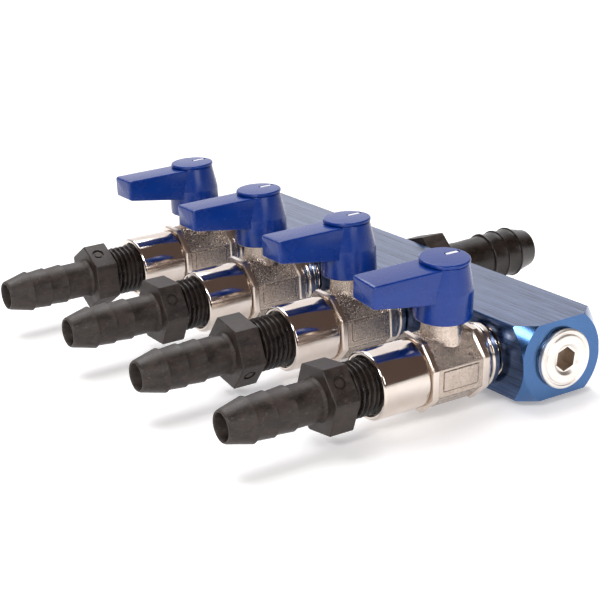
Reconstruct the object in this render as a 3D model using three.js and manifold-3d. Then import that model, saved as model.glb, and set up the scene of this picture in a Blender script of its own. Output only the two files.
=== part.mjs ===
// Hose splitter: anodised bar manifold, four brass mini ball valves with lever handles,
// four outlet hose tails, one inlet hose tail and two end plugs.
// Millimetres, +Z up. Origin: centre of the bar's underside; the port axes lie BAR.h / 2 above it.
// +X runs along the bar, the outlets point to -Y, the inlet points to +Y.
import * as THREE from 'three';
import { mergeVertices } from 'three/addons/utils/BufferGeometryUtils.js';
import Module from 'manifold-3d';

const wasm = await Module();
wasm.setup();

// ---------- driving dimensions ----------
const PITCH = 38;                                   // outlet spacing
const BAR = { l: 142, d: 22, h: 18, bore: 4.4, edge: 0.35 };
const FACE_R = 11.1, FACE_SLOPE = 1.2;              // turned end face and its cone
const PORT_R = 6.75, PORT_DEPTH = 10.2;             // valve ports, from the front face
const PLUG = { collar: 7, t: 1.4, washer: 0.5, thread: 4.75, hole: 5.05, len: 7.5, hex: 5, key: 4.2 };
const SLEEVE_R = 8, SLEEVE_TIP = -33.2, FLANGE_Y = -20.6, REAR_Y = -4.9;
const BODY_A = 8.65;                                // half across the flats of the octagon
const STEM_Y = -12.4;                               // stem axis, from the bar face
const BALL_R = 5, BALL_BORE = 3;
const TAIL = { tip: -70, hexFront: -46.6, hex: 6.2, corner: 8.65, ridge: 5.25, thread: 6.45, bore: 3.1 };
const INLET = { hex: 13, corner: 10.95, tip: 36.4, ridge: 6.6, bore: 4.3 };
const HUB = { r: 6.7, z0: 12.2, break: 19.3, top: 25.2, rTop: 5.45, cap: 5.75, capT: 0.9 };
const LEVER = { tip: 21.6, w: 8.8, tipW: 8.2, top: 25.2, rootZ: 17.4, tipZ: 19.8 };
// each valve: seat depth of the body, of its hose tail, lean about its axis, tail rotation
const VALVES = [
  { x: 1.5 * PITCH, out: 0.1, tail: -0.7, lean: 6, turn: 12.5 },
  { x: 0.5 * PITCH, out: -1.1, tail: 1.3, lean: 0, turn: 50 },
  { x: -0.5 * PITCH, out: 1.0, tail: -1.1, lean: 0, turn: 0 },
  { x: -1.5 * PITCH, out: 0, tail: 0.5, lean: 0, turn: 31 },
];

const COLORS = {
  bar: [0x2a5f9e, 0.35, 0.9], nickel: [0xcfc8bd, 0.18, 1], steel: [0xb9bcc0, 0.3, 1],
  handle: [0x1c3f9c, 0.4, 0], nylon: [0x2e2927, 0.7, 0], ptfe: [0xf2f1ec, 0.5, 0],
  rubber: [0x141414, 0.8, 0], brass: [0xc7a24e, 0.3, 1],
};

// ---------- solid helpers ----------
const rad = THREE.MathUtils.degToRad;

function solid(geometry) {
  const g = geometry.clone();
  g.deleteAttribute('normal');
  g.deleteAttribute('uv');
  const m = mergeVertices(g, 1e-4);
  const p = m.attributes.position.array;
  const index = m.index.array;
  let tris = [];
  let volume = 0;
  for (let i = 0; i < index.length; i += 3) {
    const [a, b, c] = [index[i], index[i + 1], index[i + 2]];
    if (a === b || b === c || a === c) continue;
    tris.push(a, b, c);
    const [A, B, C] = [a, b, c].map((k) => new THREE.Vector3(p[3 * k], p[3 * k + 1], p[3 * k + 2]));
    volume += A.dot(B.cross(C)) / 6;
  }
  if (volume < 0) {
    const turned = [];
    for (let i = 0; i < tris.length; i += 3) turned.push(tris[i], tris[i + 2], tris[i + 1]);
    tris = turned;
  }
  const mesh = new wasm.Mesh({
    numProp: 3, vertProperties: new Float32Array(p), triVerts: new Uint32Array(tris),
  });
  return new wasm.Manifold(mesh);
}

function geometryOf(manifold) {
  const { vertProperties, triVerts, numProp } = manifold.getMesh();
  const g = new THREE.BufferGeometry();
  const n = vertProperties.length / numProp;
  const p = new Float32Array(n * 3);
  for (let i = 0; i < n; i++) for (let k = 0; k < 3; k++) p[3 * i + k] = vertProperties[numProp * i + k];
  g.setAttribute('position', new THREE.BufferAttribute(p, 3));
  g.setIndex(new THREE.BufferAttribute(new Uint32Array(triVerts), 1));
  g.computeVertexNormals();
  return g;
}

// profile: [radius, position along the axis] pairs, closed on itself; phase turns the facets
function lathe(profile, axis = 'y', segs = 32, phase = 0) {
  const pts = profile.map(([r, h]) => new THREE.Vector2(r, h));
  const onAxis = profile[0][0] === 0 && profile[profile.length - 1][0] === 0;
  if (!onAxis) pts.push(pts[0].clone());
  const g = new THREE.LatheGeometry(pts, segs, phase);
  if (axis === 'z') g.rotateX(Math.PI / 2);
  if (axis === 'x') g.rotateZ(-Math.PI / 2);
  return g;
}

function rod(r, a, b, axis = 'y', segs = 32, phase = 0) {
  return lathe([[0, a], [r, a], [r, b], [0, b]], axis, segs, phase);
}

function box(x0, x1, y0, y1, z0, z1) {
  const g = new THREE.BoxGeometry(x1 - x0, y1 - y0, z1 - z0);
  return g.translate((x0 + x1) / 2, (y0 + y1) / 2, (z0 + z1) / 2);
}

// regular polygon prism along Y with corner radius r and the first corner at angle a0 degrees
function prismY(n, r, y0, y1, a0 = 0, bevel = 0) {
  const shape = new THREE.Shape();
  for (let i = 0; i < n; i++) {
    const a = rad(a0 + (360 / n) * i);
    const [x, z] = [r * Math.cos(a), r * Math.sin(a)];
    if (i) shape.lineTo(x, z);
    else shape.moveTo(x, z);
  }
  shape.closePath();
  return extrudeY(shape, y0, y1, bevel);
}

// a shape drawn in X and Z, swept along Y from y0 to y1, with an optional bevelled rim
function extrudeY(shape, y0, y1, bevel = 0) {
  const g = new THREE.ExtrudeGeometry(shape, {
    depth: y1 - y0 - 2 * bevel, bevelEnabled: bevel > 0, bevelThickness: bevel,
    bevelSize: bevel, bevelOffset: -bevel, bevelSegments: 1, curveSegments: 6,
  });
  return g.rotateX(Math.PI / 2).translate(0, y1 - bevel, 0);
}

const cut = (base, ...tools) => tools.reduce((m, g) => m.subtract(solid(g)), base);
const join = (...pieces) => pieces.map(solid).reduce((m, p) => m.add(p));

const group = new THREE.Group();
group.position.z = BAR.h / 2;
function put(parent, name, shape, look) {
  const geometry = shape instanceof THREE.BufferGeometry ? geometryOf(solid(shape)) : geometryOf(shape);
  const [color, roughness, metalness] = COLORS[look];
  const mesh = new THREE.Mesh(geometry, new THREE.MeshStandardMaterial({ color, roughness, metalness }));
  mesh.name = name;
  parent.add(mesh);
  return mesh;
}

// ---------- bar ----------
function bar() {
  const { l, d, h, edge } = BAR;
  const section = new THREE.Shape();
  const [a, b] = [d / 2, h / 2];
  section.moveTo(-a + edge, -b);
  for (const [y, z] of [[a - edge, -b], [a, -b + edge], [a, b - edge], [a - edge, b],
    [-a + edge, b], [-a, b - edge], [-a, -b + edge]]) section.lineTo(y, z);
  section.closePath();
  const blank = new THREE.ExtrudeGeometry(section, { depth: l, bevelEnabled: false });
  blank.rotateX(Math.PI / 2).rotateZ(Math.PI / 2).translate(l / 2, 0, 0);
  blank.computeBoundingBox();
  blank.translate(-(blank.boundingBox.min.x + blank.boundingBox.max.x) / 2, 0, 0);
  const big = 16;
  const cone = lathe([[0, -l / 2], [FACE_R, -l / 2], [big, -l / 2 + FACE_SLOPE * (big - FACE_R)],
    [big, l / 2 - FACE_SLOPE * (big - FACE_R)], [FACE_R, l / 2], [0, l / 2]], 'x', 56);
  const tools = [rod(BAR.bore, -l, l, 'x', 16)];
  for (const s of [1, -1]) {
    tools.push(lathe([[0, s * (l / 2 + 1)], [PLUG.hole, s * (l / 2 + 1)],
      [PLUG.hole, s * (l / 2 - 9)], [0, s * (l / 2 - 9)]], 'x', 20));
  }
  for (const v of VALVES) {
    tools.push(rod(PORT_R, -d, -d / 2 + PORT_DEPTH, 'y', 24).translate(v.x, 0, 0));
  }
  tools.push(rod(PORT_R, d / 2 - PORT_DEPTH, d, 'y', 24));
  return cut(solid(blank).intersect(solid(cone)), ...tools);
}

// ---------- end plug: collar, hexagon socket, parallel thread ----------
function plug() {
  const { collar, t, washer, thread, len, hex, key } = PLUG;
  const z1 = washer + t;
  const body = lathe([[0, -len], [thread - 0.5, -len], [thread, -len + 0.6], [thread, 0],
    [thread - 0.3, washer + 0.03], [collar, washer + 0.03], [collar, z1 - 0.45],
    [collar - 0.45, z1], [0, z1]], 'x', 28);
  const r = hex / Math.sqrt(3);
  const socket = new THREE.Shape();
  for (let i = 0; i < 6; i++) {
    const a = rad(60 * i + 18);
    socket[i ? 'lineTo' : 'moveTo'](r * Math.cos(a), r * Math.sin(a));
  }
  socket.closePath();
  const hole = new THREE.ExtrudeGeometry(socket, { depth: key + 1, bevelEnabled: false });
  hole.translate(0, 0, z1 - key).rotateY(Math.PI / 2);
  const mouth = lathe([[0, z1 - 0.5], [r - 0.1, z1 - 0.5], [r + 0.65, z1 + 0.25], [0, z1 + 0.25]], 'x', 24);
  return cut(solid(body), hole, mouth);
}

// ---------- ball valve, drawn from the bar face outwards along -Y ----------
function valveBody() {
  const c = BODY_A / Math.cos(rad(22.5));
  const front = prismY(8, c, FLANGE_Y, FLANGE_Y + 1.9, 22.5, 0.4);
  const rear = prismY(8, c, REAR_Y - 2, REAR_Y, 22.5);
  // the middle: flat sides flush with the flanges, upper and lower faces set back
  const middle = new THREE.Shape();
  const [w, z, g] = [BODY_A - 0.25, BODY_A - 0.9, 3.1];
  middle.moveTo(w, -g);
  for (const [x, y] of [[w, g], [g + 0.4, z], [-g - 0.4, z], [-w, g], [-w, -g], [-g - 0.4, -z], [g + 0.4, -z]])
    middle.lineTo(x, y);
  middle.closePath();
  const core = extrudeY(middle, FLANGE_Y + 1.4, REAR_Y - 1);
  const taper = lathe([[0, REAR_Y - 0.6], [8.3, REAR_Y - 0.6], [8.3, REAR_Y + 0.1], [7.6, -4.2],
    [7.6, -3.4], [7.1, -3.1], [7.4, -2.8], [7.4, -1.4], [6.45, -1.3], [6.45, 8.2], [5.9, 8.8],
    [0, 9.2]], 'y', 20);
  const neck = lathe([[0, 3], [5.4, 3], [5.4, 7.4], [4.65, 9.6], [4.65, 13.6], [0, 13.6]],
    'z', 16).translate(0, STEM_Y, 0);
  const pad = (s) => box(s > 0 ? BODY_A - 1 : -BODY_A, s > 0 ? BODY_A : -BODY_A + 1,
    STEM_Y - 5.2, STEM_Y + 4, -1.9, 2.7);
  const bore = lathe([[0, 12], [3, 12], [3, STEM_Y + 5.2], [5.6, STEM_Y + 5.2], [5.6, STEM_Y - 5.2],
    [7.2, STEM_Y - 5.2], [7.2, FLANGE_Y - 0.5], [0, FLANGE_Y - 0.5]], 'y', 14);
  const stemWay = lathe([[0, 0], [2.4, 0], [2.4, 9], [3.5, 9], [3.5, 14], [0, 14]], 'z', 12);
  stemWay.translate(0, STEM_Y, 0);
  return cut(join(front, rear, core, taper, neck, pad(1), pad(-1)), bore, stemWay);
}

function sleeve() {
  const t = SLEEVE_TIP;
  return lathe([[3.1, -17.9], [6.8, -17.9], [6.8, FLANGE_Y - 0.1], [SLEEVE_R, FLANGE_Y - 0.1],
    [SLEEVE_R, t + 0.7], [SLEEVE_R - 0.6, t], [6.4, t], [6.4, -21.8], [3.1, -21.8]], 'y', 24);
}

function ball() {
  const arc = [];
  const a0 = Math.asin(BALL_BORE / BALL_R);
  for (let i = 0; i <= 5; i++) {
    const a = a0 + ((Math.PI - 2 * a0) * i) / 5;
    arc.push([BALL_R * Math.sin(a), -BALL_R * Math.cos(a)]);
  }
  return cut(solid(lathe(arc, 'y', 14)), box(-6, 6, -1, 1, 3.6, 6));
}

function seat(side) {
  return lathe([[3.1, 4.9], [5.3, 4.9], [5.3, 2.4], [4.95, 2.4], [3.1, 4.55]]
    .map(([r, h]) => [r, side * h]), 'y', 12).translate(0, STEM_Y, 0);
}

function stem() {
  const shaft = join(rod(2.05, 5.35, 14.2, 'z', 12), box(-1.6, 1.6, -0.75, 0.75, 3.9, 5.6),
    box(-1.45, 1.45, -1.45, 1.45, 14, 20));
  return cut(shaft, rod(1.05, 16, 21, 'z', 8));
}

const stemSeal = () => lathe([[2.4, 9.2], [3.1, 9.2], [3.1, 12.4], [2.4, 12.4]], 'z', 12);

function handle() {
  const { r, z0, top, rTop } = HUB;
  const hub = lathe([[0, z0], [r, z0], [r, HUB.break], [rTop, top], [0, top]], 'z', 24);
  const { tip, w, tipW, rootZ, tipZ } = LEVER;
  const side = new THREE.Shape();                    // drawn in (-Y, Z), swept across X
  side.moveTo(0, rootZ - 0.3);
  for (const [y, z] of [[tip - 0.9, tipZ], [tip, tipZ + 0.9], [tip, LEVER.top - 0.8],
    [tip - 0.8, LEVER.top], [0, LEVER.top]]) side.lineTo(y, z);
  side.closePath();
  const blade = new THREE.ExtrudeGeometry(side, { depth: w + 4, bevelEnabled: false });
  blade.rotateX(Math.PI / 2).rotateZ(-Math.PI / 2).translate(w / 2 + 2, 0, 0);
  const plan = new THREE.Shape();                    // drawn in (X, -Y), swept up Z
  const [a, b, c] = [w / 2, tipW / 2, 1.1];
  plan.moveTo(-a, 0);
  for (const [x, y] of [[-b, tip - c], [-b + c, tip], [b - c, tip], [b, tip - c], [a, 0]]) plan.lineTo(x, y);
  plan.closePath();
  const outline = new THREE.ExtrudeGeometry(plan, { depth: 40, bevelEnabled: false });
  outline.rotateX(Math.PI).translate(0, 0, 40);
  const lever = solid(blade).intersect(solid(outline));
  return cut(solid(hub).add(lever), rod(5.2, z0 - 1, 14.25, 'z', 14),
    box(-1.7, 1.7, -1.7, 1.7, 14, 21), rod(3.4, 20.4, top + 1, 'z', 12));
}

function handleCap() {
  const z = HUB.top + 0.15;
  const disc = lathe([[0, z - 1.1], [2.9, z - 1.1], [2.9, z], [HUB.cap, z],
    [HUB.cap, z + HUB.capT - 0.3], [HUB.cap - 0.3, z + HUB.capT], [0, z + HUB.capT]], 'z', 22);
  return cut(solid(disc), box(-1.65, -0.55, 0.9, 4.7, z + 0.45, z + 2));
}

function handleScrew() {
  const screw = lathe([[0, 16.4], [0.75, 16.4], [0.75, 20.7], [2.9, 20.7], [2.9, 22.4], [0, 22.4]], 'z', 10);
  return cut(solid(screw), box(-3, 3, -0.35, 0.35, 21.8, 23));
}

// shift: how far the tail stands out from its nominal seat, so its full thread ends at the sleeve
function outletTail(turn, shift) {
  const { tip, hexFront, hex, corner, ridge, thread, bore } = TAIL;
  const h1 = hexFront + hex;
  const rings = [];
  for (let i = 0; i < 3; i++) {
    const y = tip + 6.3 + 4.9 * i;                   // sharp edge of each barb
    rings.push([ridge - (i ? 0.15 : 1.5), i ? y - 4.6 : tip + 0.25], [ridge, y], [ridge - 0.45, y + 0.25]);
  }
  rings[0][0] = 3.65;
  const stemOuter = lathe([[0, tip], [3.4, tip], ...rings, [ridge - 0.45, hexFront + 1], [0, hexFront + 1]],
    'y', 18);
  const nut = prismY(6, corner, hexFront, h1, turn);
  const male = lathe([[0, h1 - 1], [5.9, h1 - 1], [5.9, h1 + 0.6], [thread, h1 + 0.9],
    [thread, SLEEVE_TIP - 0.6 + shift], [6.05, SLEEVE_TIP - 0.3 + shift], [6.05, -24], [0, -24]], 'y', 18);
  return cut(join(stemOuter, nut, male), rod(bore, tip - 1, -20, 'y', 12));
}

function inletTail() {
  const { hex, corner, tip, ridge, bore } = INLET;   // drawn from the bar face outwards along +Y
  const rings = [[ridge - 0.7, hex - 1], [ridge - 0.7, hex + 1]];
  for (let i = 0; i < 3; i++) {
    const y = tip - 5.9 - 4.4 * (2 - i);
    rings.push([ridge - 0.5, y - 0.3], [ridge, y], [ridge - 0.1, y + 0.2]);
  }
  const outer = lathe([[0, hex - 1], ...rings, [5.0, tip - 0.3], [4.6, tip], [0, tip]], 'y', 24);
  const nutA = prismY(6, corner, 0.5, 7.1, 16.7);
  const nutB = prismY(6, corner, 7.1, hex, 16.7);
  const male = lathe([[0, -8.8], [5.9, -8.8], [6.45, -8.2], [6.45, -1.4], [5.9, -1], [5.9, 1], [0, 1]], 'y', 24);
  return cut(join(outer, nutA, nutB, male), rod(bore, -10, tip + 1, 'y', 16));
}

// ---------- assembly ----------
put(group, 'manifold_bar', bar(), 'bar');
for (const [side, turn] of [['right', 0], ['left', Math.PI]]) {
  const end = new THREE.Group();
  end.rotation.z = turn;
  const x = BAR.l / 2;
  put(end, `end_plug_${side}`, plug(), 'nickel').position.x = x;
  put(end, `plug_washer_${side}`, lathe([[5.0, 0.05], [6.75, 0.05], [6.75, PLUG.washer - 0.1], [5.0, PLUG.washer - 0.1]],
    'x', 24), 'steel').position.x = x;
  group.add(end);
}
const inlet = new THREE.Group();
inlet.position.y = BAR.d / 2;
put(inlet, 'inlet_tail', inletTail(), 'nylon');
put(inlet, 'inlet_seal', lathe([[6.2, 0.05], [7.6, 0.05], [7.6, 0.45], [6.2, 0.45]], 'y', 18), 'rubber');
group.add(inlet);

VALVES.forEach((v, i) => {
  const n = i + 1;
  const valve = new THREE.Group();
  valve.position.set(v.x, -BAR.d / 2 - v.out, 0);
  valve.rotation.y = rad(v.lean);
  put(valve, `valve_body_${n}`, valveBody(), 'nickel');
  put(valve, `valve_sleeve_${n}`, sleeve(), 'nickel');
  put(valve, `seat_rear_${n}`, seat(1), 'ptfe');
  put(valve, `seat_front_${n}`, seat(-1), 'ptfe');
  put(valve, `outlet_tail_${n}`, outletTail(v.turn, v.tail), 'nylon').position.y = -v.tail;
  const turning = new THREE.Group();
  turning.position.y = STEM_Y;
  put(turning, `ball_${n}`, ball(), 'steel');
  put(turning, `stem_${n}`, stem(), 'brass');
  put(turning, `stem_seal_${n}`, stemSeal(), 'rubber');
  put(turning, `handle_${n}`, handle(), 'handle');
  put(turning, `handle_screw_${n}`, handleScrew(), 'steel');
  put(turning, `handle_cap_${n}`, handleCap(), 'handle');
  valve.add(turning);
  group.add(valve);
});

export default group;
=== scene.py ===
"""Hose splitter: blue anodised bar, four small lever ball valves, black hose tails, end plugs."""
from math import cos, hypot, pi, radians, sin, sqrt
import bpy
import bmesh
from mathutils import Matrix, Vector


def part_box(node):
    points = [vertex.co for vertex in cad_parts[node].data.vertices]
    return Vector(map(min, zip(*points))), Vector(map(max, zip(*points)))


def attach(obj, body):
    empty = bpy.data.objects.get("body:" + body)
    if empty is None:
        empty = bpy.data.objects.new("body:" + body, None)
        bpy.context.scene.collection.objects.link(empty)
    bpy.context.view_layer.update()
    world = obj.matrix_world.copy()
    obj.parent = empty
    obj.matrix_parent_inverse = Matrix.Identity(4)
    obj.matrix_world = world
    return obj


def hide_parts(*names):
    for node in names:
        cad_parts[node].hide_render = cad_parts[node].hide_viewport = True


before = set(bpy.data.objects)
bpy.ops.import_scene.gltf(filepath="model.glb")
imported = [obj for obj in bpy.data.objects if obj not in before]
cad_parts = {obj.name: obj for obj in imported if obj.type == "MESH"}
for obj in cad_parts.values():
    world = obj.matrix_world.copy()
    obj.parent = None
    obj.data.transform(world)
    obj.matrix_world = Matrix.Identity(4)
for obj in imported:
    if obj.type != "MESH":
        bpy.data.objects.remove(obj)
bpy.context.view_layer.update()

# ---------- dimensions, in millimetres, as in the CAD ----------
MM = 0.001
AXIS_Z = 9.0                                 # height of the port axes over the bar's underside
BAR_L, BAR_D, BAR_H, BAR_EDGE = 142.0, 22.0, 18.0, 0.3
FACE_R, FACE_SLOPE = 11.1, 1.2               # flat end face of the bar, and the cone turned around it
WAY_R, PLUG_HOLE_R, PORT_HOLE_R = 4.4, 5.05, 6.75   # long drilling, end holes, ports
PORT_FLOOR = 0.8                             # how near a port's drilling comes to the bar's middle
SOCKET_KEY, SOCKET_DEEP = 5.0, 2.3           # hexagon socket of the end plugs
FLANGE_Y, REAR_Y, STEM_Y, BODY_A = -20.6, -4.9, -12.4, 8.65  # valve body; BODY_A is half its width
SLEEVE_TIP, SLEEVE_R = -33.2, 8.0
TAIL_TIP, HEX_FRONT, HEX_LEN, HEX_R = -70.0, -46.6, 6.2, 8.7
INLET_HEX_LEN, INLET_HEX_R = 13.0, 10.95
THREAD_R, PITCH = 6.45, 1.337
CAP_Z, LEVER_TIP, LEVER_ROOT = 25.35, -21.6, -3.3
PORTS = {1: 57.0, 2: 19.0, 3: -19.0, 4: -57.0}
OUT = {1: 0.1, 2: -1.1, 3: 1.0, 4: 0.0}      # how far each valve stands out of its port
TAIL_OUT = {1: -0.7, 2: 1.3, 3: -1.1, 4: 0.5}  # and each tail out of its valve
LEAN = {1: 6.0, 2: 0.0, 3: 0.0, 4: 0.0}      # degrees about the port axis
TURN = {1: 12.5, 2: -70.0, 3: 0.0, 4: 31.0}  # hexagon of each tail, degrees

AXES = {"x": lambda r, a, h: (h, r * cos(a), r * sin(a)),
        "y": lambda r, a, h: (r * cos(a), h, r * sin(a)),
        "z": lambda r, a, h: (r * cos(a), r * sin(a), h)}


# ---------- mesh helpers ----------
def lathe(profile, axis="y", segs=96):
    """Closed solid of revolution from (radius, height) pairs."""
    at = AXES[axis]
    verts, rows = [], []
    for r, h in profile:
        if r < 1e-6:
            rows.append([len(verts)] * segs)
            verts.append(at(0, 0, h))
        else:
            rows.append(list(range(len(verts), len(verts) + segs)))
            verts += [at(r, 2 * pi * i / segs, h) for i in range(segs)]
    if profile[0][0] > 1e-6 or profile[-1][0] > 1e-6:
        rows.append(rows[0])
    faces = []
    for a, b in zip(rows, rows[1:]):
        for i in range(segs):
            j = (i + 1) % segs
            f = list(dict.fromkeys((a[i], a[j], b[j], b[i])))
            if len(f) > 2:
                faces.append(f)
    return verts, faces


def soften(points, size=0.25, steps=3, closed=False):
    """Rounds the corners of a profile; a corner keeps at most a third of its shorter side."""
    out, n = [], len(points)
    for i, p in enumerate(points):
        if not closed and i in (0, n - 1):
            out.append(p)
            continue
        q, s = points[i - 1], points[(i + 1) % n]
        lq, ls = hypot(p[0] - q[0], p[1] - q[1]), hypot(p[0] - s[0], p[1] - s[1])
        c = min(size, lq / 3, ls / 3)
        a = [p[k] + (q[k] - p[k]) * c / lq for k in (0, 1)]
        b = [p[k] + (s[k] - p[k]) * c / ls for k in (0, 1)]
        for t in (j / steps for j in range(steps + 1)):
            u = 1 - t
            out.append(tuple(u * u * a[k] + 2 * u * t * p[k] + t * t * b[k] for k in (0, 1)))
    return out


def prism(outline, lo, hi, axis="y", rim=0.0):
    """Prism of an outline (in the two other axes) from lo to hi, with a bevelled rim at both ends."""
    n = len(outline)
    cx, cy = sum(p[0] for p in outline) / n, sum(p[1] for p in outline) / n

    def inset(p):
        d = hypot(p[0] - cx, p[1] - cy)
        return cx + (p[0] - cx) * (1 - rim / d), cy + (p[1] - cy) * (1 - rim / d)
    levels = [(lo, False), (hi, False)]
    if rim:
        levels = [(lo, True), (lo + rim, False), (hi - rim, False), (hi, True)]
    put = {"x": lambda p, h: (h, p[0], p[1]), "y": lambda p, h: (p[0], h, p[1]),
           "z": lambda p, h: (p[0], p[1], h)}[axis]
    verts = [put(inset(p) if narrow else p, h) for h, narrow in levels for p in outline]
    faces = [list(range(n)), list(range(len(verts) - n, len(verts)))]
    for k in range(len(levels) - 1):
        for i in range(n):
            j = (i + 1) % n
            faces.append([k * n + i, k * n + j, (k + 1) * n + j, (k + 1) * n + i])
    return verts, faces


def polygon(n, r, first, steps=0, size=0.3):
    """Regular polygon with its first corner at an angle in degrees, its corners rounded if steps."""
    turns = [radians(first + 360 * i / n) for i in range(n)]
    pts = [(r * cos(a), r * sin(a)) for a in turns]
    return soften(pts, size, steps, closed=True) if steps else pts


def drill(radius, lo, hi, axis="y", segs=64):
    """Plain cylinder, to cut a hole with."""
    return lathe([(0, lo), (radius, lo), (radius, hi), (0, hi)], axis, segs)


def moved(shell, x=0.0, y=0.0, z=0.0):
    """The same shell, shifted."""
    return [(v[0] + x, v[1] + y, v[2] + z) for v in shell[0]], shell[1]


def screw_thread(lo, hi, crest, depth, segs=96, per_turn=12):
    """Closed sleeve along Y with a helical thread of true pitch outside, faded out at both ends."""
    rows = int(round((hi - lo) / PITCH * per_turn))
    wall = 0.4
    inner = crest - depth - wall
    rings = [[(inner, lo)] * segs]
    for k in range(rows + 1):
        h = lo + (hi - lo) * k / rows
        fade = max(0.0, min(1.0, (h - lo) / (0.8 * PITCH), (hi - h) / (0.3 * PITCH)))
        ring = []
        for i in range(segs):
            t = (h / PITCH - i / segs) % 1.0
            dip = min(1.0, max(0.0, 1.35 * abs(2 * t - 1) - 0.15))
            ring.append((crest - depth * (1 - (1 - dip) * fade), h))
        rings.append(ring)
    rings.append([(inner, hi)] * segs)
    verts = [AXES["y"](r, 2 * pi * i / segs, h) for ring in rings for i, (r, h) in enumerate(ring)]
    faces = []
    for k in range(len(rings)):
        a, b = k * segs, (k + 1) % len(rings) * segs
        faces += [[a + i, a + (i + 1) % segs, b + (i + 1) % segs, b + i] for i in range(segs)]
    return verts, faces


def mesh_object(name, *shells, mats=(), sharp=32):
    """One object from several (verts, faces[, material index]) shells given in millimetres."""
    bm = bmesh.new()
    for shell in shells:
        verts, faces = shell[:2]
        vs = [bm.verts.new(Vector(v) * MM) for v in verts]
        made = [bm.faces.new([vs[i] for i in f]) for f in faces]
        bmesh.ops.recalc_face_normals(bm, faces=made)
        for f in made:
            f.material_index = shell[2] if len(shell) > 2 else 0
    bmesh.ops.remove_doubles(bm, verts=bm.verts, dist=1e-7)
    mesh = bpy.data.meshes.new(name)
    bm.to_mesh(mesh)
    bm.free()
    for m in mats:
        mesh.materials.append(m)
    ob = bpy.data.objects.new(name, mesh)
    bpy.context.scene.collection.objects.link(ob)
    shade(ob, sharp)
    return ob


def shade(ob, sharp=32):
    """Smooth shading, but edges sharper than so many degrees stay edges."""
    ob.data.polygons.foreach_set("use_smooth", [True] * len(ob.data.polygons))
    ob.data.set_sharp_from_angle(angle=radians(sharp))


def bake(ob, sharp=32):
    """Applies the modifiers of an object to its mesh."""
    dg = bpy.context.evaluated_depsgraph_get()
    mesh = bpy.data.meshes.new_from_object(ob.evaluated_get(dg))
    ob.modifiers.clear()
    ob.data = mesh
    shade(ob, sharp)
    return ob


def carve(ob, *shells, sharp=32, keep=()):
    """Cuts closed shells out of an object; keep lists the materials that the cut faces bring along."""
    for shell in shells:
        tool = mesh_object("tool", shell, mats=keep)
        mod = ob.modifiers.new("cut", "BOOLEAN")
        mod.operation, mod.solver, mod.object = "DIFFERENCE", "EXACT", tool
        bake(ob, sharp)
        bpy.data.objects.remove(tool)
    return ob


def voxel(ob, size, passes, factor=0.5, sharp=50):
    """Fuses overlapping shells into one skin and rounds its edges, as a stamping's are."""
    mod = ob.modifiers.new("fuse", "REMESH")
    mod.mode, mod.voxel_size, mod.adaptivity = "VOXEL", size * MM, 0.0
    mod = ob.modifiers.new("round", "SMOOTH")
    mod.factor, mod.iterations = factor, passes
    return bake(ob, sharp)


def copy_of(ob, name):
    """Another object with the same mesh."""
    twin = bpy.data.objects.new(name, ob.data)
    bpy.context.scene.collection.objects.link(twin)
    return twin


def shift(x, y, z):
    """Matrix that moves by millimetres."""
    return Matrix.Translation((x * MM, y * MM, z * MM))


def place(ob, matrix, body, slot, *nodes):
    """Puts a piece in place under its body and hides the CAD nodes it stands for; slot is not used."""
    ob.matrix_world = matrix
    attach(ob, body)
    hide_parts(*nodes)
    return ob


# ---------- material helpers ----------
def mix_colors(tree, fac, a, b):
    """Mixes two colours, each a constant or an output."""
    n = tree.nodes.new("ShaderNodeMix")
    n.data_type = "RGBA"
    tree.links.new(fac, n.inputs[0])
    for i, v in ((6, a), (7, b)):
        if isinstance(v, tuple):
            n.inputs[i].default_value = (*v, 1)
        else:
            tree.links.new(v, n.inputs[i])
    return n.outputs[2]


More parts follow.
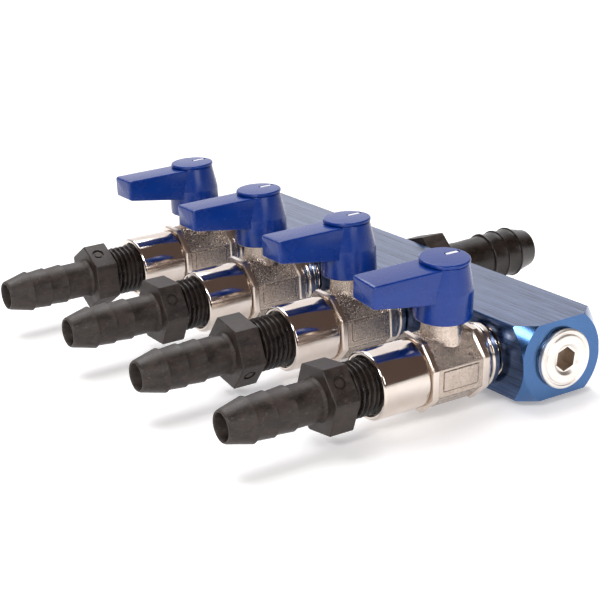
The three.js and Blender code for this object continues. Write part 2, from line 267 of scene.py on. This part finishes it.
class Nodes:
    """A small builder for one material's node tree."""

    def __init__(self, name, **sockets):
        self.mat = bpy.data.materials.new(name)
        self.mat.use_nodes = True
        self.tree = self.mat.node_tree
        self.bsdf = self.tree.nodes["Principled BSDF"]
        for k, v in sockets.items():
            self.bsdf.inputs[k.replace("_", " ")].default_value = v
        self.coords = self.add("ShaderNodeTexCoord").outputs["Object"]

    def add(self, kind, links=()):
        n = self.tree.nodes.new(kind)
        for socket, source in dict(links).items():
            self.tree.links.new(source, n.inputs[socket])
        return n

    def scaled(self, scale):
        """Object coordinates times a number, or times x, y and z numbers: features per metre."""
        n = self.add("ShaderNodeMapping", {"Vector": self.coords})
        n.inputs["Scale"].default_value = scale if isinstance(scale, tuple) else (scale,) * 3
        return n.outputs[0]

    def noise(self, scale, detail=3.0, rough=0.55, distort=0.0, of=None):
        """Noise in the object's space, or along another output given as of."""
        n = self.add("ShaderNodeTexNoise", {"Vector": of or self.scaled(scale)})
        n.inputs["Scale"].default_value = scale if of else 1.0
        n.inputs["Detail"].default_value = detail
        n.inputs["Roughness"].default_value = rough
        n.inputs["Distortion"].default_value = distort
        return n.outputs["Fac"]

    def span(self, fac, lo, hi, a, b):
        """lo where fac is a, hi where it is b, and held beyond them."""
        n = self.add("ShaderNodeMapRange", {"Value": fac})
        for k, v in zip(("From Min", "From Max", "To Min", "To Max"), (a, b, lo, hi)):
            n.inputs[k].default_value = v
        return n.outputs[0]

    def math(self, op, a, b=None, value=0.5):
        n = self.add("ShaderNodeMath", {0: a} if b is None else {0: a, 1: b})
        n.operation = op
        if b is None:
            n.inputs[1].default_value = value
        return n.outputs[0]

    def length(self, a, b):
        """Distance from the origin of a point (a, b)."""
        return self.math("SQRT", self.math("ADD", self.math("MULTIPLY", a, a), self.math("MULTIPLY", b, b)))

    def split(self, vector):
        """The x, y and z outputs of a vector."""
        return self.add("ShaderNodeSeparateXYZ", {0: vector}).outputs

    def mix(self, fac, a, b):
        return mix_colors(self.tree, fac, a, b)

    def bump(self, *layers):
        """layers: (height output, strength, distance in metres)"""
        normal = None
        for height, strength, distance in layers:
            n = self.add("ShaderNodeBump", {"Height": height})
            n.inputs["Strength"].default_value = strength
            n.inputs["Distance"].default_value = distance
            if normal is not None:
                self.tree.links.new(normal, n.inputs["Normal"])
            normal = n.outputs[0]
        self.tree.links.new(normal, self.bsdf.inputs["Normal"])

    def set(self, **sockets):
        """Links outputs to the shader's sockets and gives back the finished material."""
        for k, source in sockets.items():
            self.tree.links.new(source, self.bsdf.inputs[k.replace("_", " ")])
        return self.mat


def anodised(name, dark, light, turned=False):
    """Blue anodised aluminium under its clear layer: drawn lines along the bar, or turning marks on its ends."""
    n = Nodes(name, Metallic=1.0, Roughness=0.3, Coat_Weight=1.0, Coat_Roughness=0.18, Coat_IOR=1.5)
    blotch = n.noise(60, 3, 0.5)
    if turned:
        _, y, z = n.split(n.coords)
        fine, long = n.noise(5200.0, 2, 0.6, of=n.length(y, z)), blotch
    else:
        fine, long = n.noise((120, 3600, 3600), 3, 0.7), n.noise((22, 1700, 1700), 3, 0.6)
    lines = n.math("ADD", n.math("MULTIPLY", fine, value=0.5), n.math("MULTIPLY", long, value=0.5))
    color = n.mix(n.span(lines, 0, 1, 0.36, 0.66), dark, light)
    n.bump((lines, 0.12 if turned else 0.6, 0.00004), (blotch, 0.05, 0.0002))
    n.tree.links.new(n.bsdf.inputs["Normal"].links[0].from_socket, n.bsdf.inputs["Coat Normal"])
    if turned:
        return n.set(Base_Color=color, Roughness=n.span(lines, 0.14, 0.28, 0.3, 0.7))
    return n.set(Base_Color=color, Roughness=n.span(lines, 0.22, 0.42, 0.3, 0.7),
                 Coat_Weight=n.span(lines, 0.3, 0.95, 0.38, 0.6))


def polished(name, stretch, color, rough):
    """Nickel plate on turned brass: faint turning lines across the piece's axis, smears and pits."""
    n = Nodes(name, Metallic=1.0, Roughness=0.12)
    turns = n.noise(stretch, 3, 0.6)
    smear = n.noise(160, 4, 0.6, 0.4)
    pits = n.noise(1500, 2, 0.5)
    worn = tuple(c * k for c, k in zip(color, (0.93, 0.9, 0.86)))
    tint = n.mix(n.span(smear, 0, 1, 0.35, 0.7), color, worn)
    n.bump((turns, 0.05, 0.00002), (n.span(pits, 0, 1, 0.62, 0.75), 0.12, 0.00002), (smear, 0.04, 0.0002))
    return n.set(Base_Color=tint, Roughness=n.span(smear, *rough, 0.3, 0.7))


def forged():
    """Nickel plate on the blasted hot stamping: grain with painted glints in its colour, smooth on the flat sides and
    the neck.
    """
    n = Nodes("nickel_forged", Metallic=1.0, Roughness=0.22)
    grain = n.noise(2300, 2, 0.6)
    cells = n.add("ShaderNodeTexVoronoi", {"Vector": n.scaled(2500)}).outputs
    facet = n.split(cells["Color"])[0]
    wide = n.noise(260, 3, 0.5)

    side = n.split(n.add("ShaderNodeTexCoord").outputs["Normal"])[0]
    x, y, z = n.split(n.coords)
    off = n.length(x, n.math("ADD", y, value=-STEM_Y * MM))    # distance from the stem's axis
    neck = n.math("MAXIMUM", n.span(off, 0.1, 1.0, 0.0049, 0.0058), n.span(z, 1.0, 0.0, 0.002, 0.004))
    rough = n.math("MULTIPLY", n.span(n.math("ABSOLUTE", side), 1.0, 0.09, 0.84, 0.96), neck)

    height = n.math("MULTIPLY", n.math("ADD", grain, n.math("MULTIPLY", cells["Distance"], value=0.6)), rough)
    tone = n.mix(n.span(wide, 0, 1, 0.35, 0.65), (0.60, 0.505, 0.435), (0.50, 0.415, 0.352))
    # Painted glints: the grain's cells get colours from near black to bright white, standing in for sparkle; the
    # cells themselves are real grain.
    lit = n.math("ADD", n.math("MULTIPLY", facet, value=0.55), n.math("MULTIPLY", grain, value=0.9))
    grain_with_painted_glints = n.mix(n.span(lit, 0, 1, 0.58, 0.92), (0.10, 0.068, 0.05), (1.0, 0.87, 0.77))
    color = n.mix(n.math("MAXIMUM", rough, value=0.14), tone, grain_with_painted_glints)
    n.bump((height, 1.0, 0.00042), (wide, 0.08, 0.0003))
    return n.set(Base_Color=color, Roughness=n.span(grain, 0.32, 0.15, 0.3, 0.7))


def blue_plastic():
    """Semi-gloss moulded blue: fine orange peel, faint flow marks, rubbed spots."""
    n = Nodes("handle_blue", Roughness=0.24, Specular_IOR_Level=0.43)
    peel = n.noise(1900, 2, 0.5)
    flow = n.noise((70, 30, 110), 3, 0.55, 0.8)
    scuff = n.noise((900, 300, 500), 5, 0.7)
    color = n.mix(n.span(flow, 0, 1, 0.3, 0.7), (0.0008, 0.024, 0.185), (0.0012, 0.034, 0.235))
    color = n.mix(n.span(scuff, 0, 0.25, 0.68, 0.82), color, (0.03, 0.08, 0.33))
    n.bump((peel, 0.06, 0.00003), (flow, 0.08, 0.0004))
    return n.set(Base_Color=color, Roughness=n.span(scuff, 0.19, 0.34, 0.35, 0.75))


def black_nylon(name, rough=(0.40, 0.58), dark=1.0):
    """Glass-filled nylon: warm black with short pale fibres and flow streaks; dark scales its colours, and below 1 it
    paints shade.
    """
    n = Nodes(name, Roughness=0.5, Specular_IOR_Level=0.42)
    low, high, pale = [tuple(c * dark for c in color) for color in
                       ((0.011, 0.0072, 0.0056), (0.038, 0.026, 0.021), (0.17, 0.13, 0.11))]
    fibre = n.noise((2600, 1100, 2600), 4, 0.75)
    mottle = n.noise((420, 240, 420), 4, 0.65, 0.5)
    base = n.mix(n.span(mottle, 0, 1, 0.35, 0.65), low, high)
    color = n.mix(n.span(fibre, 0, 0.6, 0.58, 0.76), base, pale)
    n.bump((fibre, 0.25, 0.00005), (mottle, 0.2, 0.00015))
    return n.set(Base_Color=color, Roughness=n.span(mottle, *rough, 0.3, 0.7))


def simple(name, color, metallic, rough, scale=900, depth=0.00003, strength=0.15, spread=0.75):
    """Small inner pieces: a mottled colour, uneven gloss and a fine surface."""
    n = Nodes(name, Metallic=metallic, Roughness=rough)
    fine, wide = n.noise(scale, 3, 0.6), n.noise(scale / 6, 3, 0.6)
    tint = n.mix(n.span(wide, 0, 1, 0.3, 0.7), color, tuple(c * spread for c in color))
    n.bump((fine, strength, depth))
    return n.set(Base_Color=tint, Roughness=n.span(fine, rough * 0.8, min(1.0, rough * 1.25), 0.3, 0.7))


ABOUT_X, ABOUT_Y = (3500, 60, 60), (60, 3500, 60)    # stretch of turning lines about an axis
# The drawn faces get far darker blues than the turned ends: painted shade for the valves' shade on the bar's front,
# laid on all four long faces.
BAR_SIDE_SHADED = anodised("anodised_drawn_painted_shade", (0.003, 0.022, 0.078), (0.026, 0.088, 0.25))
BAR_END = anodised("anodised_turned", (0.014, 0.080, 0.24), (0.034, 0.135, 0.34), turned=True)
NICKEL = polished("nickel_turned", ABOUT_Y, (0.74, 0.67, 0.62), (0.07, 0.16))
SATIN = polished("nickel_satin", ABOUT_Y, (0.72, 0.645, 0.59), (0.18, 0.30))
NICKEL_PLUG = polished("nickel_plug", ABOUT_X, (0.87, 0.84, 0.81), (0.34, 0.46))
FORGED, BLUE = forged(), blue_plastic()
# The second nylon is a glossier copy at 0.45 of the colour: painted shade for the thread roots, put on the inlet's
# barbs as well.
NYLON, NYLON_GLOSSY_SHADED = black_nylon("nylon"), black_nylon("nylon_glossy_painted_shade", (0.24, 0.34), 0.45)
# The hex socket's faces get a darker, browner metal than the plug's face around it.
SOCKET_DARKER = simple("socket_darker_brown", (0.55, 0.46, 0.38), 1.0, 0.42)
STEEL = simple("steel_turned", (0.62, 0.62, 0.61), 1.0, 0.25)
BRASS = simple("brass_turned", (0.72, 0.53, 0.24), 1.0, 0.28)
PTFE = simple("seat_white", (0.86, 0.85, 0.82), 0.0, 0.45, scale=500, depth=0.00002, strength=0.1, spread=0.9)
RUBBER = simple("seal_black", (0.018, 0.018, 0.018), 0.0, 0.6, scale=1200, strength=0.2)
# A pale inlay fills the slot's floor, drawn as a bright white mark.
SLOT_WHITE = simple("slot_inlay_white", (0.80, 0.80, 0.84), 0.0, 0.4, scale=700, strength=0.1, spread=0.9)


# ---------- bar ----------
def bar():
    """Drawn bar with broken edges; its ends are a flat face inside a shallow turned cone."""
    a, b, e = BAR_D / 2, BAR_H / 2, BAR_EDGE
    corners = [(a - e, -b), (a, -b + e), (a, b - e), (a - e, b),
               (-a + e, b), (-a, b - e), (-a, -b + e), (-a + e, -b)]
    outline = []
    for p, q in zip(corners, corners[1:] + corners[:1]):
        steps = 64 if hypot(q[0] - p[0], q[1] - p[1]) > 1 else 2    # fine on the faces, for the cone's edge
        outline += [(p[0] + (q[0] - p[0]) * t / steps, p[1] + (q[1] - p[1]) * t / steps) for t in range(steps)]
    rho = [hypot(*p) for p in outline]
    half = BAR_L / 2
    n = len(outline)
    verts = []
    for side in (-1, 1):
        for p, r in zip(outline, rho):          # where the faces meet the turned cone
            verts.append((side * (half - FACE_SLOPE * max(0.0, r - FACE_R)), p[0], p[1] + AXIS_Z))
        for p, r in zip(outline, rho):          # rim of the flat end face
            k = min(1.0, FACE_R / r)
            verts.append((side * half, p[0] * k, p[1] * k + AXIS_Z))
        verts.append((side * half, 0, AXIS_Z))
    row = 2 * n + 1
    sides, ends = [], []
    for i in range(n):
        j = (i + 1) % n
        sides.append([i, j, row + j, row + i])
        for s in (0, row):
            if max(rho[i], rho[j]) > FACE_R + 1e-6:
                ends.append([s + i, s + j, s + n + j, s + n + i])
            ends.append([s + n + i, s + n + j, s + 2 * n])
    ob = mesh_object("bar", (verts, sides + ends), mats=(BAR_SIDE_SHADED, BAR_END), sharp=20)
    for f in ob.data.polygons:
        f.material_index = 1 if abs(f.normal.x) > 0.2 else 0

    cuts = [drill(WAY_R, -half - 0.5, half + 0.5, "x", 48)]
    cuts += [drill(PLUG_HOLE_R, s * (half + 1), s * (half - 9), "x") for s in (1, -1)]
    cuts += [moved(drill(PORT_HOLE_R, -BAR_D / 2 - 1, -PORT_FLOOR), x) for x in PORTS.values()]
    cuts.append(drill(PORT_HOLE_R, BAR_D / 2 + 1, PORT_FLOOR))
    carve(ob, *[moved(cut, z=AXIS_Z) for cut in cuts], sharp=20)
    return place(ob, Matrix.Identity(4), "base", "anodised_blue", "manifold_bar")


# ---------- end plugs and washers ----------
def plugs():
    """Heights are from the bar's end face, outwards."""
    rim = [(0, -7.5), (4.2, -7.5), (4.75, -6.9), (4.75, 0),                     # thread
           (4.5, 0.52), (6.85, 0.52), (7.0, 0.68), (7.0, 1.35), (6.72, 1.62),   # under and around the head
           (6.3, 1.66), (6.05, 1.5), (5.85, 1.5), (5.65, 1.88),                 # groove in its face
           (5.3, 1.95), (3.7, 1.95), (3.0, 1.35), (0, 1.35)]                    # face, dished to the socket
    plug = mesh_object("plug", lathe(soften(rim, 0.12), "x", 128), mats=(NICKEL_PLUG,), sharp=28)
    carve(plug, prism(polygon(6, SOCKET_KEY / sqrt(3), 18), -SOCKET_DEEP, 3.0, "x"), sharp=28)
    plug.data.materials.append(SOCKET_DARKER)
    for f in plug.data.polygons:
        inside = f.center.x < 1.3 * MM and hypot(f.center.y, f.center.z) < 3.0 * MM
        f.material_index = int(inside)
    flat = soften([(5.0, 0.04), (6.9, 0.04), (6.9, 0.42), (5.0, 0.42)], 0.1, closed=True)
    ring = mesh_object("washer", lathe(flat, "x", 128), mats=(STEEL,), sharp=28)
    for name, turn in (("right", 0), ("left", pi)):
        m = Matrix.Rotation(turn, 4, "Z") @ shift(BAR_L / 2, 0, AXIS_Z)
        place(copy_of(plug, f"plug_{name}"), m, "base", "nickel", f"end_plug_{name}")
        place(copy_of(ring, f"washer_{name}"), m, "base", "steel", f"plug_washer_{name}")
    for ob in (plug, ring):
        bpy.data.objects.remove(ob)


# ---------- hose tails ----------
def tail():
    """Outlet tail: cone nose, three low barbs, hexagon, tapered mouth and male thread."""
    t, h0, h1 = TAIL_TIP, HEX_FRONT, HEX_FRONT + HEX_LEN
    outer = [(3.1, t + 0.35), (3.3, t), (3.6, t + 0.05), (3.85, t + 0.5),       # mouth
             (5.27, t + 6.15), (5.3, t + 6.3), (4.82, t + 6.5),                 # three barbs
             (5.2, t + 11.05), (5.24, t + 11.2), (4.8, t + 11.4),
             (5.16, t + 15.95), (5.2, t + 16.1), (4.76, t + 16.3),
             (4.8, h0 - 0.7), (5.2, h0 + 0.1), (5.2, h1 - 0.1),                 # through the hexagon
             (5.75, h1 + 0.3), (5.75, h1 + 0.9), (5.8, SLEEVE_TIP + 2.5),       # shank inside the sleeve
             (5.75, -23.6), (5.4, -23.2), (3.2, -23.2), (3.1, -23.3)]
    body = lathe(soften(outer, 0.09, 2), "y", 128)
    nut = prism(polygon(6, HEX_R, 0, 3, 0.35), h0, h1, "y", 0.22)
    male = screw_thread(h1 + 0.25, -24.0, THREAD_R, 0.8)

    flat_r = HEX_R * cos(radians(30))
    ring_in, ring_out, above = 0.95, 1.55, flat_r + 2.0

    def on_flat(shell):
        """Lays a shell made about Z on the next flat of the hexagon, a little off its middle."""
        a = radians(30) - pi / 2
        verts = []
        for v in shell[0]:
            x, z = v[0] - 0.6, v[2]
            verts.append((x * cos(a) - z * sin(a), v[1] + h0 + 2.7, x * sin(a) + z * cos(a)))
        return verts, shell[1]
    recess = lathe([(ring_in, flat_r - 0.4), (ring_out, flat_r - 0.4), (ring_out, above), (ring_in, above)], "z", 40)
    dot = drill(ring_in + 0.01, flat_r - 0.1, above, "z", 40)
    ob = mesh_object("tail", nut, mats=(NYLON, NYLON_GLOSSY_SHADED), sharp=28)
    carve(ob, on_flat(recess), on_flat(dot), drill(4.9, h0 - 1, h1 + 1), sharp=28)
    return with_join(ob, mesh_object("tail_rest", body, (*male, 1), mats=(NYLON, NYLON_GLOSSY_SHADED), sharp=30))


def with_join(a, b):
    """Adds b's mesh to a's and drops b."""
    bm = bmesh.new()
    bm.from_mesh(a.data)
    bm.from_mesh(b.data)
    mesh = bpy.data.meshes.new(a.name)
    bm.to_mesh(mesh)
    bm.free()
    for m in a.data.materials:
        mesh.materials.append(m)
    a.data = mesh
    bpy.data.objects.remove(b)
    return a


def inlet():
    """Inlet tail and its seal; heights are from the bar's rear face."""
    h = INLET_HEX_LEN
    prof = [(4.3, -8.7), (5.9, -8.7), (5.9, 0.4), (5.9, h + 0.2),               # core
            (5.85, h + 0.7), (5.85, h + 1.6),
            (6.0, 21.3), (6.55, 21.55), (6.62, 21.85), (6.45, 22.15), (6.0, 22.2),   # three barbs
            (6.3, 25.9), (6.66, 26.05), (6.62, 26.35), (6.0, 26.5),
            (6.35, 30.25), (6.66, 30.4), (6.64, 30.7), (6.2, 30.85),
            (5.0, 35.9), (4.75, 36.35), (4.5, 36.4), (4.3, 36.2)]               # nose and mouth
    body = lathe(soften(prof, 0.08, 2, closed=True), "y", 128)
    hexagon = polygon(6, INLET_HEX_R, 16.7, 3, 0.35)
    groove_y = 7.05
    nuts = prism(hexagon, 0.5, groove_y, "y", 0.12), prism(hexagon, groove_y, h, "y", 0.25)
    male = screw_thread(-8.6, 0.7, THREAD_R, 0.6)
    ob = mesh_object("tail_inlet", *nuts, mats=(NYLON, NYLON_GLOSSY_SHADED), sharp=28)
    carve(ob, drill(5.0, -1, h + 1), sharp=28)
    with_join(ob, mesh_object("inlet_rest", (*body, 1), (*male, 1), mats=(NYLON, NYLON_GLOSSY_SHADED), sharp=30))
    m = shift(0, BAR_D / 2, AXIS_Z)
    place(ob, m, "base", "black_nylon", "inlet_tail")

    flat = soften([(6.2, 0.05), (7.6, 0.05), (7.6, 0.45), (6.2, 0.45)], 0.15, closed=True)
    place(mesh_object("seal_inlet", lathe(flat, "y", 96), mats=(RUBBER,)), m, "base", "black_rubber", "inlet_seal")


# ---------- valve ----------
def valve_body():
    """Stamped middle fused from its shells; flanges, rear collar and thread are turned and stay crisp."""
    mats = (FORGED, SATIN, NICKEL)
    octagon = polygon(8, BODY_A / cos(radians(22.5)), 22.5, 2, 0.25)
    g, w, z = 3.4, BODY_A - 0.3, BODY_A - 0.72      # half a flat side, half width, half height
    mid = [(w, -g), (w, g), (g + 0.2, z), (-g - 0.2, z), (-w, g), (-w, -g), (-g - 0.2, -z), (g + 0.2, -z)]
    neck = lathe([(0, 2), (5.3, 2), (5.25, 7.0), (5.05, 8.0), (4.85, 9.2), (4.7, 10.6), (4.65, 13.6), (0, 13.6)], "z")

    def pad(s):
        """Raised field on one side."""
        y0, y1, lo, hi, x = STEM_Y - 5.2, STEM_Y + 4.0, -1.9, 2.7, s * (BODY_A - 0.1)
        return prism([(y0, lo), (y1, lo), (y1, hi), (y0, hi)], *sorted((x - s * 2, x)), "x")
    ob = mesh_object("body", prism(mid, FLANGE_Y + 0.8, REAR_Y - 0.6), moved(neck, y=STEM_Y), pad(1), pad(-1),
                     mats=mats)
    voxel(ob, 0.15, 8)

    room = 5.2                                       # half the length of the ball's chamber
    bore = lathe([(0, 5), (3.0, 5), (3.0, STEM_Y + room), (5.6, STEM_Y + room), (5.6, STEM_Y - room),
                  (7.15, STEM_Y - room), (7.15, -25), (0, -25)], "y", 64)
    way = lathe([(0, 1), (2.4, 1), (2.4, 9), (3.5, 9), (3.5, 15), (0, 15)], "z", 48)
    carve(ob, bore, moved(way, y=STEM_Y), sharp=60)
    for lo, hi, rim in ((FLANGE_Y, FLANGE_Y + 1.7, 0.3), (REAR_Y - 2, REAR_Y, 0.42)):
        flange = mesh_object("flange", prism(octagon, lo, hi, "y", rim), mats=mats, sharp=30)
        carve(flange, bore, sharp=30, keep=mats)
        for f in flange.data.polygons:
            f.material_index = 1
        with_join(ob, flange)

    taper = lathe([(3.0, REAR_Y - 1), (8.35, REAR_Y - 1), (8.35, REAR_Y + 0.1), (7.7, -4.1), (3.0, -4.1)], "y", 128)
    collar = [(3.0, -4.5), (7.6, -4.5), (7.6, -3.5), (7.3, -3.2), (7.3, -3.0), (7.6, -2.75), (7.6, -1.45),
              (7.3, -1.25), (6.0, -1.25), (6.0, 8.3), (5.7, 8.7), (3.0, 8.7)]
    collar = lathe(soften(collar, 0.16, 3, closed=True), "y", 128)
    male = screw_thread(-1.35, 8.4, THREAD_R, 0.7)
    return with_join(ob, mesh_object("rear", (*taper, 1), (*collar, 2), (*male, 2), mats=mats, sharp=36))


def sleeve():
    """Polished sleeve with a rolled lip; its rear shoulder is screwed into the body."""
    t, r = SLEEVE_TIP, SLEEVE_R
    prof = [(3.1, -17.9), (6.7, -17.9), (6.8, -18.1), (6.8, -20.4), (7.6, FLANGE_Y - 0.08), (r, FLANGE_Y - 0.4),
            (r, t + 0.55), (7.75, t + 0.12), (7.35, t), (7.05, t + 0.05), (6.6, t + 0.5), (6.45, t + 0.75),
            (6.45, -21.9), (3.1, -21.9)]
    return mesh_object("sleeve", lathe(soften(prof, 0.14, 3, closed=True), "y", 160), mats=(NICKEL,), sharp=34)


def lever():
    """Handle: hollow hub with a conical head, and a wedge-sided lever with softened edges."""
    hub = [(5.2, 12.25), (6.45, 12.2), (6.7, 12.45), (6.7, 19.1), (6.62, 19.5), (5.5, 25.1), (5.35, 25.25),
           (3.4, 25.25), (3.4, 20.4), (1.75, 20.4), (1.75, 14.25), (5.2, 14.25)]
    hub = lathe(soften(hub, 0.12, 3, closed=True), "z", 144)
    top, steps, nose = 25.2, 14, 0.75                # nose: length of the rounded end

    def ring(y, half, lo, hi):
        pts = soften([(-half, lo), (half, lo), (half, hi), (-half, hi)], 0.5, 4, closed=True)
        return [(p[0], y, p[1]) for p in pts]
    rings = []
    for k in range(steps + 1):
        y = LEVER_ROOT + (LEVER_TIP + nose - LEVER_ROOT) * k / steps
        f = (y + 6.0) / (LEVER_TIP + 6.0)            # 0 beside the hub, 1 at the tip
        rings.append(ring(y, 4.2 - 0.12 * f, 17.25 + 2.55 * max(0.0, f), top))
    for d, inset in ((0.3, 0.03), (0.52, 0.12), (0.67, 0.26), (nose, 0.5)):
        rings.append(ring(LEVER_TIP + nose - d, 4.08 - inset, 19.8 + inset, top - inset))
    m = len(rings[0])
    verts = [v for r in rings for v in r]
    faces = [list(range(m)), list(range(len(verts) - m, len(verts)))]
    for k in range(len(rings) - 1):
        a, b = k * m, (k + 1) * m
        faces += [[a + i, a + (i + 1) % m, b + (i + 1) % m, b + i] for i in range(m)]
    return mesh_object("lever", hub, (verts, faces), mats=(BLUE,), sharp=36)


def cap():
    """Disc on the hub, with a slot and a white inlay in it."""
    z = CAP_Z
    prof = [(0, z - 1.1), (2.8, z - 1.1), (2.9, z - 1.0), (2.9, z - 0.02), (5.6, z - 0.02), (5.75, z + 0.12),
            (5.75, z + 0.62), (5.52, z + 0.88), (0, z + 0.9)]
    ob = mesh_object("cap", lathe(soften(prof, 0.1, 3), "z", 144), mats=(BLUE, SLOT_WHITE), sharp=34)
    slot = soften([(-1.65, 0.85), (-0.55, 0.85), (-0.55, 4.75), (-1.65, 4.75)], 0.2, 3, closed=True)
    carve(ob, prism(slot, z + 0.45, z + 2, "z"), sharp=34)
    inlay = soften([(-1.55, 1.2), (-0.65, 1.2), (-0.65, 4.4), (-1.55, 4.4)], 0.25, 3, closed=True)
    return with_join(ob, mesh_object("inlay", (*prism(inlay, z + 0.3, z + 0.86, "z", 0.08), 1), mats=(BLUE, SLOT_WHITE)))


def valves():
    """One shape of each piece, placed at the four ports; the inner pieces are the CAD's own."""
    forms = {"body": valve_body(), "sleeve": sleeve(), "tail": tail(), "lever": lever(), "cap": cap()}
    inner = {"seat_rear": PTFE, "seat_front": PTFE, "stem_seal": RUBBER,
             "ball": STEEL, "stem": BRASS, "handle_screw": STEEL}
    for i, x in PORTS.items():
        at = shift(x, -BAR_D / 2 - OUT[i], AXIS_Z) @ Matrix.Rotation(radians(LEAN[i]), 4, "Y")
        stem = at @ shift(0, STEM_Y, 0)
        out = at @ shift(0, -TAIL_OUT[i], 0) @ Matrix.Rotation(radians(-TURN[i]), 4, "Y")
        place(copy_of(forms["body"], f"body_{i}"), at, "base", "nickel", f"valve_body_{i}")
        place(copy_of(forms["sleeve"], f"sleeve_{i}"), at, "base", "nickel", f"valve_sleeve_{i}")
        place(copy_of(forms["tail"], f"tail_{i}"), out, "base", "black_nylon", f"outlet_tail_{i}")
        place(copy_of(forms["lever"], f"lever_arm_{i}"), stem, f"lever_{i}", "blue_plastic", f"handle_{i}")
        place(copy_of(forms["cap"], f"lever_cap_{i}"), stem, f"lever_{i}", "blue_plastic", f"handle_cap_{i}")
        for node, mat in inner.items():
            dress(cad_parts[f"{node}_{i}"], mat)
    for ob in forms.values():
        bpy.data.objects.remove(ob)


def dress(node, mat):
    """Gives a CAD node that is kept as it is its material."""
    if not node.material_slots:
        node.data.materials.append(mat)
    for s in node.material_slots:
        s.material = mat


# ---------- stage ----------
FLOOR_R, FLOOR_DROP = 3.5, 0.0002            # metres
SKY, HORIZON, SOFTBOX = (0.112, 0.079, 0.066), (1.0, 1.0, 1.0), (1.12, 1.10, 1.12)
SOFTBOX_WAY = (-0.75, 0.45, 0.42)            # towards the soft bright side of the sky
LAMPS = (                                    # name, place, width and height, watts, aimed at
    ("top", (-0.36, 0.0, 0.84), (0.7, 0.7), 7.5, (0, -0.02, 0)),
    ("side", (0.95, -0.05, 0.42), (0.5, 0.4), 3.0, (0.1, 0, 0)),
    ("key", (0.50, -0.67, 0.64), (0.34, 0.24), 4.5, (0.05, -0.01, 0.01)))
CAMERA_AT = (0.33801, -0.22785, 0.14268)
CAMERA_AZ, CAMERA_EL, CAMERA_ROLL = 59.06, 18.61, -3.23
SENSOR, LENS = 36.0, 98.69


def floor():
    """White disc, lit from above near the object and glowing further out, where no lamp reaches."""
    bm = bmesh.new()
    bmesh.ops.create_circle(bm, cap_ends=True, radius=FLOOR_R, segments=96)
    mesh = bpy.data.meshes.new("floor")
    bm.to_mesh(mesh)
    bm.free()
    ground = bpy.data.objects.new("floor", mesh)
    bpy.context.scene.collection.objects.link(ground)
    ground.location.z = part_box("inlet_tail")[0].z - FLOOR_DROP
    n = Nodes("floor_white", Roughness=0.6)
    tone = n.mix(n.span(n.noise(3), 0, 1, 0.3, 0.7), (0.93, 0.93, 0.93), (0.90, 0.90, 0.905))
    x, y, _ = n.split(n.coords)
    glow = n.span(n.length(x, y), 0.3, 1.0, 0.5, 1.3)
    ground.data.materials.append(n.set(Base_Color=tone, Emission_Color=tone, Emission_Strength=glow))


def sky():
    """Dark warm studio, white along the horizon, with one wide bright side."""
    world = bpy.data.worlds.new("studio")
    bpy.context.scene.world = world
    world.use_nodes = True
    t = world.node_tree
    way = t.nodes.new("ShaderNodeTexCoord").outputs["Generated"]

    def fade(value, zero, one):
        """0 where value is zero, 1 where it is one, eased between."""
        r = t.nodes.new("ShaderNodeMapRange")
        r.interpolation_type = "SMOOTHSTEP"
        t.links.new(value, r.inputs["Value"])
        r.inputs["From Min"].default_value, r.inputs["From Max"].default_value = zero, one
        return r.outputs[0]
    height = t.nodes.new("ShaderNodeSeparateXYZ")
    t.links.new(way, height.inputs[0])
    facing = t.nodes.new("ShaderNodeVectorMath")
    facing.operation = "DOT_PRODUCT"
    t.links.new(way, facing.inputs[0])
    facing.inputs[1].default_value = Vector(SOFTBOX_WAY).normalized()
    color = mix_colors(t, fade(height.outputs[2], 0.13, 0.04), SKY, HORIZON)
    color = mix_colors(t, fade(facing.outputs["Value"], 0.62, 0.86), color, SOFTBOX)
    t.links.new(color, t.nodes["Background"].inputs["Color"])
    t.nodes["Background"].inputs["Strength"].default_value = 1.0


def lamps():
    """Three soft boxes around the object."""
    for name, where, size, power, aim in LAMPS:
        light = bpy.data.lights.new(name, "AREA")
        light.shape, light.size, light.size_y, light.energy = "RECTANGLE", *size, power
        ob = bpy.data.objects.new(name, light)
        bpy.context.scene.collection.objects.link(ob)
        ob.location = where
        ob.rotation_euler = (Vector(aim) - Vector(where)).to_track_quat("-Z", "Y").to_euler()
    bpy.context.scene.view_settings.view_transform = "Standard"


def camera():
    """Camera turned about the object by azimuth and elevation in degrees, with a slight roll."""
    az, el, roll = radians(CAMERA_AZ), radians(CAMERA_EL), radians(CAMERA_ROLL)
    back = Vector((sin(az) * cos(el), -cos(az) * cos(el), sin(el)))
    right = Vector((0, 0, 1)).cross(back).normalized()
    up = back.cross(right)
    right, up = cos(roll) * right + sin(roll) * up, cos(roll) * up - sin(roll) * right
    cam = bpy.data.objects.new("camera", bpy.data.cameras.new("camera"))
    bpy.context.scene.collection.objects.link(cam)
    cam.matrix_world = Matrix.Translation(CAMERA_AT) @ Matrix((right, up, back)).transposed().to_4x4()
    cam.data.sensor_width, cam.data.lens = SENSOR, LENS
    cam.data.clip_start, cam.data.clip_end = 0.02, 20.0
    bpy.context.scene.camera = cam


camera()
floor()
sky()
lamps()
bar()
plugs()
inlet()
valves()
